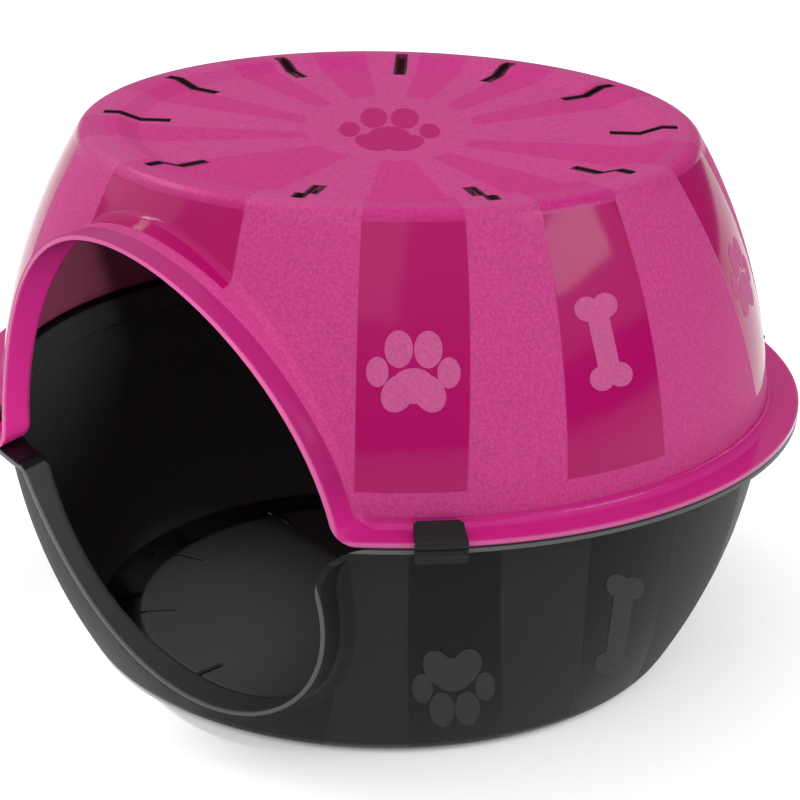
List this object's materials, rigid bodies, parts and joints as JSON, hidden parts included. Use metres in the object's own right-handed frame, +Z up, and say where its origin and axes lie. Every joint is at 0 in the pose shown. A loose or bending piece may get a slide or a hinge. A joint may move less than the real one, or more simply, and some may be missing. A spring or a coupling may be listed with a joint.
{
  "type": "cat cave",
  "caption": "Round covered pet bed of flaring plastic half-shells with an oval front door, joined at a rim flange by snap clips.",
  "frame": {"origin": "on the floor under the middle of the cave's bounding box", "axes": "+Z up, the door faces -Y, +X to the right of someone who looks in at the door"},
  "size_m": [0.48, 0.4638, 0.308],
  "materials": {
    "pink_plastic": "fine grained pink plastic with glossy stripes",
    "black_plastic": "fine grained black plastic with glossy stripes",
    "clip_plastic": "satin black plastic"
  },
  "bodies": {
    "cave": {"upper_shell": "pink_plastic", "lower_shell": "black_plastic"},
    "clip_front_right": {"clip_front_right": "clip_plastic"},
    "clip_front_left": {"clip_front_left": "clip_plastic"},
    "clip_rear_right": {"clip_rear_right": "clip_plastic"},
    "clip_rear_left": {"clip_rear_left": "clip_plastic"}
  },
  "joints": [
    {"name": "clip_front_right_pull", "type": "slide", "parent": "cave", "child": "clip_front_right", "axis": [0.6225, -0.7826, 0], "range_m": [0, 0.045]},
    {"name": "clip_front_left_pull", "type": "slide", "parent": "cave", "child": "clip_front_left", "axis": [-0.6225, -0.7826, 0], "range_m": [0, 0.045]},
    {"name": "clip_rear_right_pull", "type": "slide", "parent": "cave", "child": "clip_rear_right", "axis": [0.6225, 0.7826, 0], "range_m": [0, 0.045]},
    {"name": "clip_rear_left_pull", "type": "slide", "parent": "cave", "child": "clip_rear_left", "axis": [-0.6225, 0.7826, 0], "range_m": [0, 0.045]}
  ]
}
